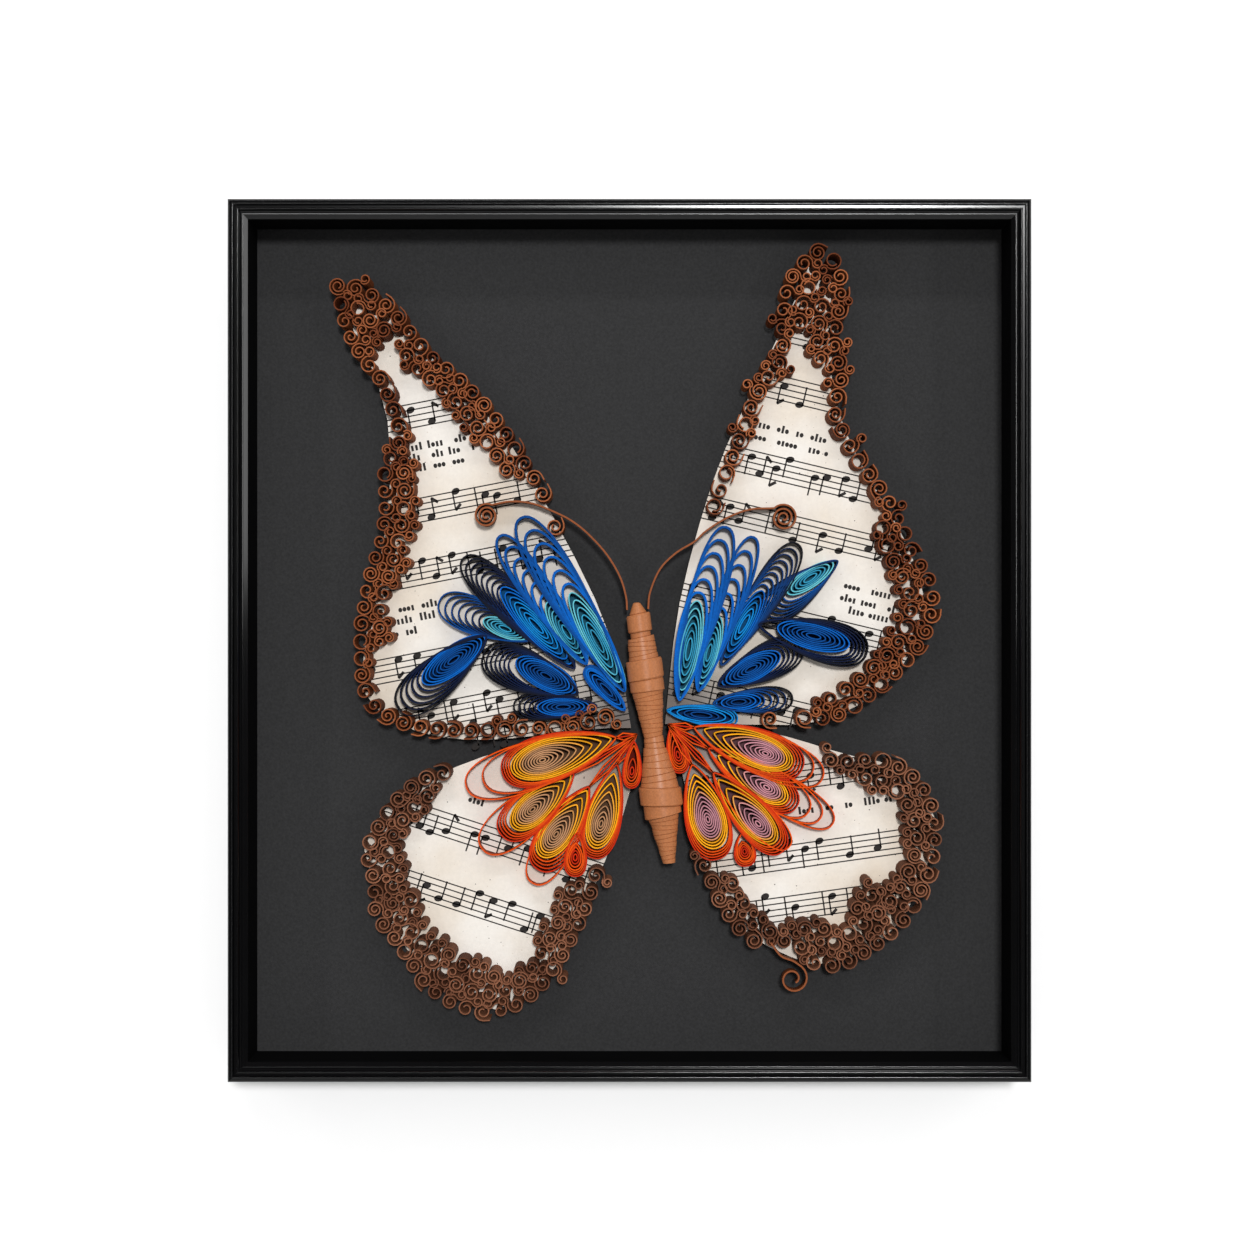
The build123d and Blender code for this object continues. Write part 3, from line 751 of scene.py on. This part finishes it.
def make_feather(name, level, base, fan, shades, core, core_shades, loose=(), meet=None):
    """One feather: a fan of loops pinched at the base, rings inside, and a tail. Bright ones are doubled."""
    bm, layer = new_strips()
    foot = art(*base)
    top = STRIP_FRONT + level * FEATHER_STEP
    first, first_width, last, last_width, count = fan
    blue = "blue" in name
    loops = [(tip, width, shades[1], LOOP_SHARP) for tip, width in loose]
    for index in range(count):
        share = index / (count - 1)
        width = first_width + (last_width - first_width) * share
        sharp = BLUE_LOOP_SHARP - 0.5 * share if blue else LOOP_SHARP
        loops.append((between(first, last, share), width, between(*shades, share), sharp))
    plies = 2 if shades == BRIGHTS else 1
    for tip, width, tint, sharp in loops:
        reach = art(*tip) - foot
        for ply in range(plies):
            end = foot + reach * (1 - ply * PLY_PX * PIXEL / reach.length)
            across = (width - 2 * ply * PLY_PX) * PIXEL
            points = leaf_points(foot, end, across, sharp, TIP_SHARP, LOOP_POINTS)
            ply_tint = vary(tint)
            front = top + chance.uniform(0, LOOP_UNEVEN)
            add_strip(bm, layer, points, ply_tint, closed=True, front=front)
    start, end, width = core
    add_core(bm, layer, art(*start), art(*end), width * PIXEL, core_shades, top, not blue)
    if meet:
        run = art(*meet) - foot
        side = Vector((-run.y, run.x)).normalized() * TAIL_SPREAD
        for offset in (-1, 0, 1):
            bend = foot + run * TAIL_BEND + side * offset
            add_strip(bm, layer, [foot, bend, art(*meet)], vary(shades[abs(offset)]), front=top)
    slot = "blue_strip" if blue else "orange_strip"
    thicken(place_piece(bm, f"{name}_loops", strip_paper_painted_shade, slot, name), FEATHER_PAPER)


for index, (name, form) in enumerate(FEATHERS.items()):
    make_feather(name, index % LEVELS, **form)


# Antennae and the loose scroll at the tail: a route, then the roll at its end

LOOSE_STRIPS = {
    "left_antenna": dict(
        route=[(627, 610), (626, 597), (620, 577), (607, 555), (589, 535), (573, 522), (556, 513),
               (533, 504), (511, 502)],
        roll=(487, 516), first=12.0, last=2.0, angle=62, turns=2.7),
    "right_antenna": dict(
        route=[(648, 609), (650, 592), (660, 569), (676, 553), (694, 542), (706, 531), (727, 518),
               (749, 510)],
        roll=(783, 518), first=13.5, last=2.0, angle=136, turns=-2.7),
    "tail_scroll": dict(
        route=[(770, 941), (780, 954), (792, 959)],
        roll=(792, 977), first=15.0, last=4.5, angle=55, turns=-1.3),
}
LOOSE_PAPER = 0.6 * MM
LOOSE_ROLL_STEPS = 22
ROUTE_STEPS = 5


def make_loose_strip(name, route, roll, first, last, angle, turns):
    """One strip on edge along its route, which ends in a roll."""
    bm, layer = new_strips()
    rolled = spiral_points(
        art(*roll), first * PIXEL, last * PIXEL, math.radians(angle), turns, LOOSE_ROLL_STEPS
    )
    run = smooth_route([art(*pixel) for pixel in route] + rolled[:1], ROUTE_STEPS)
    add_strip(bm, layer, run + rolled[1:], between(SCROLL, DARK_SCROLL, 0.4))
    thicken(place_piece(bm, f"{name}_strip", strip_paper_painted_shade, "brown_strip", name), LOOSE_PAPER)


for name, form in LOOSE_STRIPS.items():
    make_loose_strip(name, **form)


# Body: strip wound round a tapered core. Each length has its start and the radius there, its end and the
# radius there, as shares of the whole and of the largest radius, and its number of wraps

BODY_HEAD_PX = (636.5, 602.6)
BODY_TAIL_PX = (669.0, 862.0)
BODY_LENGTHS = [
    (0.000, 0.16, 0.044, 0.43, 1), (0.044, 0.57, 0.113, 0.57, 1), (0.113, 0.48, 0.133, 0.48, 1),
    (0.133, 0.64, 0.218, 0.71, 5), (0.218, 0.86, 0.295, 0.86, 1), (0.295, 0.81, 0.341, 0.81, 1),
    (0.341, 0.75, 0.515, 0.46, 10), (0.515, 0.46, 0.557, 0.50, 2), (0.557, 0.55, 0.708, 0.92, 6),
    (0.708, 1.00, 0.777, 1.00, 1), (0.777, 0.88, 0.819, 0.88, 1), (0.819, 0.74, 1.000, 0.30, 11),
]
WRAP_GROOVE = 0.36 * MM
WRAP_TILT = 0.11
WRAP_WAVE = 900
WRAP_PHASE = 0.6
WRAP_SUNK = 0.5
BODY_SIDES = 44
BODY_CREASE = math.radians(20)


def make_body():
    """The body, spun from the outline of its wraps and turned to lie along the picture."""
    low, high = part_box("butterfly_body")
    largest = (high.y - low.y) / 2
    head, tail = art(*BODY_HEAD_PX), art(*BODY_TAIL_PX)
    length = (tail - head).length
    bm = bmesh.new()
    layer = bm.loops.layers.float_color.new("strip_tint")
    profile = [(0, 0)]
    for start, first, end, last, wraps in BODY_LENGTHS:
        for wrap in range(wraps):
            sunk = chance.uniform(0, WRAP_SUNK) if wraps > 1 else 0
            for part, depth in ((0.0, 1), (0.08, sunk), (0.94, sunk), (1.0, 1)):
                share = (wrap + part) / wraps
                radius = (first + (last - first) * share) * largest - depth * WRAP_GROOVE
                profile.append((radius, (start + (end - start) * share) * length))
    profile.append((0, length))
    verts = [bm.verts.new((radius, 0, run)) for radius, run in profile]
    edges = [bm.edges.new(pair) for pair in zip(verts, verts[1:])]
    bmesh.ops.spin(
        bm, geom=verts + edges, cent=(0, 0, 0), axis=(0, 0, 1), angle=math.tau, steps=BODY_SIDES,
        use_merge=True
    )
    bmesh.ops.remove_doubles(bm, verts=bm.verts, dist=WELD)
    bmesh.ops.recalc_face_normals(bm, faces=bm.faces)
    for edge in bm.edges:
        edge.smooth = edge.calc_face_angle(0) < BODY_CREASE
    for vert in bm.verts:
        vert.co.z += vert.co.x * WRAP_TILT * math.sin(WRAP_PHASE + vert.co.z * WRAP_WAVE)
    run = (tail - head).normalized()
    side = Vector((-run.y, run.x))
    turn = Matrix((
        (side.x, 0, run.x, head.x),
        (0, -1, 0, low.y + largest),
        (side.y, 0, run.y, head.y),
        (0, 0, 0, 1),
    ))
    bmesh.ops.transform(bm, matrix=turn, verts=bm.verts)
    bmesh.ops.recalc_face_normals(bm, faces=bm.faces)
    for face in bm.faces:
        face.smooth = True
        for corner in face.loops:
            corner[layer] = (*KRAFT, 1)
    place_piece(bm, "wound_body", body_paper, "kraft_strip", "butterfly_body")


make_body()


# Printed music: staves cut off at the edge of each wing, notes, rows of small strokes and specks

INK_LIFT = 0.02 * MM


def add_mark(bm, middle, angle, length, height, round_mark=False):
    """One flat mark of ink, square or round."""
    at = Matrix.Translation((middle.x, WING_FACE - INK_LIFT, middle.y))
    turned = at @ Matrix.Rotation(-angle, 4, "Y") @ Matrix.Rotation(math.pi / 2, 4, "X")
    sized = turned @ Matrix.Diagonal((length, height, 1, 1))
    if round_mark:
        bmesh.ops.create_circle(bm, cap_ends=True, segments=12, radius=0.5, matrix=sized)
    else:
        bmesh.ops.create_grid(bm, x_segments=1, y_segments=1, size=0.5, matrix=sized)


# Staves of each wing: a point on the middle line, and the slope in degrees
STAVES_PX = {
    "left_forewing": ([(430, 412), (430, 508), (420, 573), (400, 668), (470, 708), (596, 714)], 11),
    "right_forewing": ([(805, 334), (794, 391), (742, 460), (724, 511), (870, 640), (700, 690)], -13.5),
    "left_hindwing": ([(470, 833), (486, 908)], -18),
    "right_hindwing": ([(780, 780), (813, 854), (806, 906)], 8),
}

# Rows of small strokes under the staves: the start and the length of each
STROKES_PX = {
    "left_forewing": [((408, 449), 66), ((406, 460), 70), ((412, 470), 62), ((400, 610), 40),
                      ((398, 622), 40), ((384, 637), 34)],
    "right_forewing": [((756, 424), 78), ((752, 436), 80), ((846, 586), 50), ((842, 598), 54),
                       ((850, 611), 42)],
    "left_hindwing": [((470, 800), 26)],
    "right_hindwing": [((800, 812), 96)],
}
STAFF_LINE_PX = 5.9
NOTE_STEP_PX = 19
STROKE_STEP_PX = 4.2
STROKE_HEIGHT_PX = 7.8
LINE_WIDTH = 0.44 * MM
FLECKS = 90
FLECK_SIZES = (0.14 * MM, 0.42 * MM)


def add_strokes(bm, start, along, up, angle, length):
    """A row of upright strokes and dots in small groups."""
    step = STROKE_STEP_PX * PIXEL
    tall = STROKE_HEIGHT_PX * PIXEL
    run = 0
    left = 4
    while run < length:
        middle = start + along * run
        if chance.random() < 0.45:
            add_mark(bm, middle, angle, step * 0.95, tall * 0.6, round_mark=True)
        else:
            height = tall * chance.choice((0.7, 0.7, 1))
            add_mark(bm, middle + up * (height - tall * 0.7) / 2, angle, LINE_WIDTH * 1.9, height)
        run += step
        left -= 1
        if left == 0:
            run += step * chance.choice((1, 1.6, 2.6))
            left = chance.randint(2, 5)


def add_note(bm, middle, along, up, angle, gap, height):
    """A note head with its stem, and now and then a flag."""
    head = middle + up * height
    add_mark(bm, head, angle + 0.35, gap * 1.5, gap * 1.1, round_mark=True)
    stem = 1 if height < 0 else -1
    foot = head + along * stem * gap * 0.55
    add_mark(bm, foot + up * stem * gap * 1.6, angle, LINE_WIDTH * 1.2, gap * 3.2)
    if chance.random() < 0.4:
        flag = foot + up * stem * gap * 2.7 + along * gap * 0.5
        add_mark(bm, flag, angle - stem * 0.7, gap * 1.4, gap * 0.5)


def add_flecks(bm, outline):
    """Small specks of ink all over the sheet."""
    corners = [corner for pair in outline for corner in pair]
    wide = [corner.x for corner in corners]
    tall = [corner.y for corner in corners]
    for _ in range(FLECKS):
        spot = Vector((chance.uniform(min(wide), max(wide)), chance.uniform(min(tall), max(tall))))
        size = chance.uniform(*FLECK_SIZES)
        if is_inside(spot, outline):
            add_mark(bm, spot, 0, size, size, round_mark=True)


def make_print(wing):
    """Staves, notes, strokes and specks of one wing, as flat marks of ink."""
    outline = wing_outline(wing)
    places, slope = STAVES_PX[wing]
    angle = math.radians(slope)
    along = heading(angle)
    up = Vector((-along.y, along.x))
    gap = STAFF_LINE_PX * PIXEL
    step = NOTE_STEP_PX * PIXEL
    bm = bmesh.new()
    for place in places:
        middle = art(*place)
        for line in range(-2, 3):
            start = middle + up * line * gap
            for begin, end in inside_runs(start, along, outline):
                add_mark(bm, start + along * (begin + end) / 2, angle, end - begin, LINE_WIDTH)
        for begin, end in inside_runs(middle, along, outline):
            run = begin + step / 2
            while run < end - step / 2:
                height = chance.randint(-5, 5) * gap / 2
                add_note(bm, middle + along * run, along, up, angle, gap, height)
                run += chance.choice((0.6, 0.8, 1, 1.5)) * step
                if chance.random() < 0.18 and run < end - step:
                    add_mark(bm, middle + along * run, angle, LINE_WIDTH * 1.2, gap * 4)
                    run += step / 2
    for place, length in STROKES_PX[wing]:
        add_strokes(bm, art(*place), along, up, angle, length * PIXEL)
    add_flecks(bm, outline)
    place_piece(bm, f"{wing}_print", ink, "aged_paper")


for wing in STAVES_PX:
    make_print(wing)


# Frame rails: the CAD moulding with its ridges rounded and its beads shaded smooth

RIDGE_ROUND = 0.12 * MM
RIDGE_STEPS = 4
RIDGE_LENGTH = 100 * MM
RIDGE_BACK = LIP_Y + 0.5 * MM
FLAT_ANGLE = math.radians(1)
BEAD_CREASE = math.radians(40)


def make_rail(side):
    """One rail of the moulding, with a dull wall round the recess."""
    node = f"frame_rail_{side}"
    bm = merged_copy(node)
    bmesh.ops.dissolve_limit(bm, angle_limit=FLAT_ANGLE, verts=bm.verts, edges=bm.edges)
    bm.normal_update()
    ridges = [
        edge for edge in bm.edges
        if edge.is_convex and edge.calc_length() > RIDGE_LENGTH and edge.verts[0].co.y < RIDGE_BACK
    ]
    bmesh.ops.bevel(
        bm, geom=ridges, offset=RIDGE_ROUND, segments=RIDGE_STEPS, profile=0.5, affect="EDGES",
        material=-1
    )
    bm.normal_update()
    for edge in bm.edges:
        edge.smooth = edge.is_convex and edge.calc_face_angle(0) < BEAD_CREASE
    for face in bm.faces:
        face.smooth = True
        inward = Vector((0, 0, CENTRE_Z)) - face.calc_center_median()
        walled = abs(face.normal.y) < 0.3 and face.normal.dot(Vector((inward.x, 0, inward.z))) > 0
        face.material_index = 1 if walled else 0
    rail = place_piece(bm, f"{side}_moulding", lacquer, "black_lacquer", node)
    rail.data.materials.append(dull_black)
    flat = rail.modifiers.new("flat", "WEIGHTED_NORMAL")
    flat.keep_sharp = True
    # The rounded ridges are shaded by their own normals, not by those copied from the CAD
    if "custom_normal" in rail.data.attributes:
        rail.data.attributes.remove(rail.data.attributes["custom_normal"])


for side in ("top", "bottom", "left", "right"):
    make_rail(side)


# Finishes of the CAD nodes that show as they are

def dress(finish, slot, *names):
    """Gives a finish to CAD nodes."""
    for name in names:
        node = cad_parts[name]
        node.data.materials.clear()
        node.data.materials.append(finish)


dress(card_stock, "charcoal_card", "mount_card")
dress(hardboard, "hardboard", "backing_board")
dress(steel, "bright_steel", "retaining_points", "sawtooth_hanger", "hanger_rivets")
dress(aged_paper, "aged_paper", *STAVES_PX)
dress(foam, "white_foam", *[f"{wing}_foam" for wing in STAVES_PX])


# Stage: a pale wall behind, which only shows from the front, and a pale floor well below

def make_wall_paint():
    """Pale paint that only the camera and reflections see, and only from the front."""
    made, nodes, links, shader = new_material("wall_paint", 0.9)
    shader.inputs["Base Color"].default_value = (0.96, 0.96, 0.96, 1)
    shader.inputs["Emission Color"].default_value = (1, 1, 1, 1)
    shader.inputs["Emission Strength"].default_value = 0.1
    ray = nodes.new("ShaderNodeLightPath")
    side = nodes.new("ShaderNodeNewGeometry")
    seen = nodes.new("ShaderNodeMath")
    seen.operation = "MAXIMUM"
    links.new(ray.outputs["Is Camera Ray"], seen.inputs[0])
    links.new(ray.outputs["Is Glossy Ray"], seen.inputs[1])
    front = nodes.new("ShaderNodeMath")
    front.operation = "SUBTRACT"
    front.inputs[0].default_value = 1.0
    links.new(side.outputs["Backfacing"], front.inputs[1])
    share = nodes.new("ShaderNodeMath")
    share.operation = "MULTIPLY"
    links.new(seen.outputs[0], share.inputs[0])
    links.new(front.outputs[0], share.inputs[1])
    clear = nodes.new("ShaderNodeBsdfTransparent")
    mix = nodes.new("ShaderNodeMixShader")
    links.new(share.outputs[0], mix.inputs["Fac"])
    links.new(clear.outputs[0], mix.inputs[1])
    links.new(shader.outputs[0], mix.inputs[2])
    links.new(mix.outputs[0], nodes["Material Output"].inputs["Surface"])
    return made


STAGE_HALF = 3
WALL_GAP = 0.3 * MM
FLOOR_DROP = 1.1


def make_stage(name, matrix, finish):
    """A large flat square of the stage."""
    bm = bmesh.new()
    bmesh.ops.create_grid(bm, x_segments=1, y_segments=1, size=STAGE_HALF, matrix=matrix)
    mesh = bpy.data.meshes.new(name)
    bm.to_mesh(mesh)
    bm.free()
    mesh.materials.append(finish)
    piece = bpy.data.objects.new(name, mesh)
    scene.collection.objects.link(piece)


floor_paint, _, _, floor_shader = new_material("floor_paint", 0.8)
floor_shader.inputs["Base Color"].default_value = (0.86, 0.86, 0.86, 1)
wall_turn = Matrix.Translation((0, WALL_GAP, CENTRE_Z)) @ Matrix.Rotation(math.pi / 2, 4, "X")
make_stage("wall", wall_turn, make_wall_paint())
make_stage("floor", Matrix.Translation((0, 0, CENTRE_Z - FLOOR_DROP)), floor_paint)


# Light: a soft key from above, strips that draw lines on the lacquer, a fill behind, an even surround

def add_lamp(name, kind, place, aim, energy, size=None, angle=None):
    """Lamp at a place, aimed at a point: a rectangle of some size, or a sun of some angle."""
    lamp = bpy.data.lights.new(name, kind)
    lamp.energy = energy
    if size:
        lamp.shape = "RECTANGLE"
        lamp.size, lamp.size_y = size
    if angle:
        lamp.angle = angle
    holder = bpy.data.objects.new(name, lamp)
    holder.location = place
    holder.rotation_euler = (Vector(aim) - Vector(place)).to_track_quat("-Z", "Y").to_euler()
    scene.collection.objects.link(holder)


MIDDLE = (0, CARD_FACE, CENTRE_Z)
add_lamp("key", "SUN", (0.09, -1.0, CENTRE_Z + 0.26), MIDDLE, energy=1.95, angle=math.radians(9))
UPPER = CENTRE_Z + 0.28
add_lamp("left_strip", "AREA", (-0.9, -0.6, UPPER), MIDDLE, energy=1.2, size=(0.07, 0.55))
add_lamp("right_strip", "AREA", (0.9, -0.6, UPPER), MIDDLE, energy=1.2, size=(0.07, 0.55))
add_lamp("bevel_strip", "AREA", (0.81, -0.2, UPPER), MIDDLE, energy=0.6, size=(0.12, 0.5))
add_lamp("top_strip", "AREA", (0.0, -0.6, CENTRE_Z + 0.9), MIDDLE, energy=2.6, size=(1.0, 0.07))
add_lamp("back_fill", "AREA", (0.3, 1.3, CENTRE_Z + 0.6), (0, 0, CENTRE_Z), energy=16, size=(1.2, 1.2))

surround = bpy.data.worlds.new("surround")
surround.use_nodes = True
surround_nodes, surround_links = surround.node_tree.nodes, surround.node_tree.links
surround_nodes["Background"].inputs["Color"].default_value = (1, 1, 1, 1)
ray = surround_nodes.new("ShaderNodeLightPath")
level = surround_nodes.new("ShaderNodeMapRange")
level.inputs["To Min"].default_value = 0.2
level.inputs["To Max"].default_value = 0.05
surround_links.new(ray.outputs["Is Glossy Ray"], level.inputs["Value"])
surround_links.new(level.outputs["Result"], surround_nodes["Background"].inputs["Strength"])
scene.world = surround


# Camera: straight on, as far off as the photograph's

SENSOR = 36
FOCAL_PX = 2100
EYE_DISTANCE = 0.714
EYE_RIGHT = -0.85 * MM
EYE_UP = 4.6 * MM
camera = bpy.data.cameras.new("camera")
camera.sensor_width = SENSOR
camera.lens = SENSOR * FOCAL_PX / IMAGE_PX
eye = bpy.data.objects.new("camera", camera)
eye.location = (EYE_RIGHT, LIP_Y - EYE_DISTANCE, CENTRE_Z + EYE_UP)
eye.rotation_euler = (math.pi / 2, 0, 0)
scene.collection.objects.link(eye)
scene.camera = eye
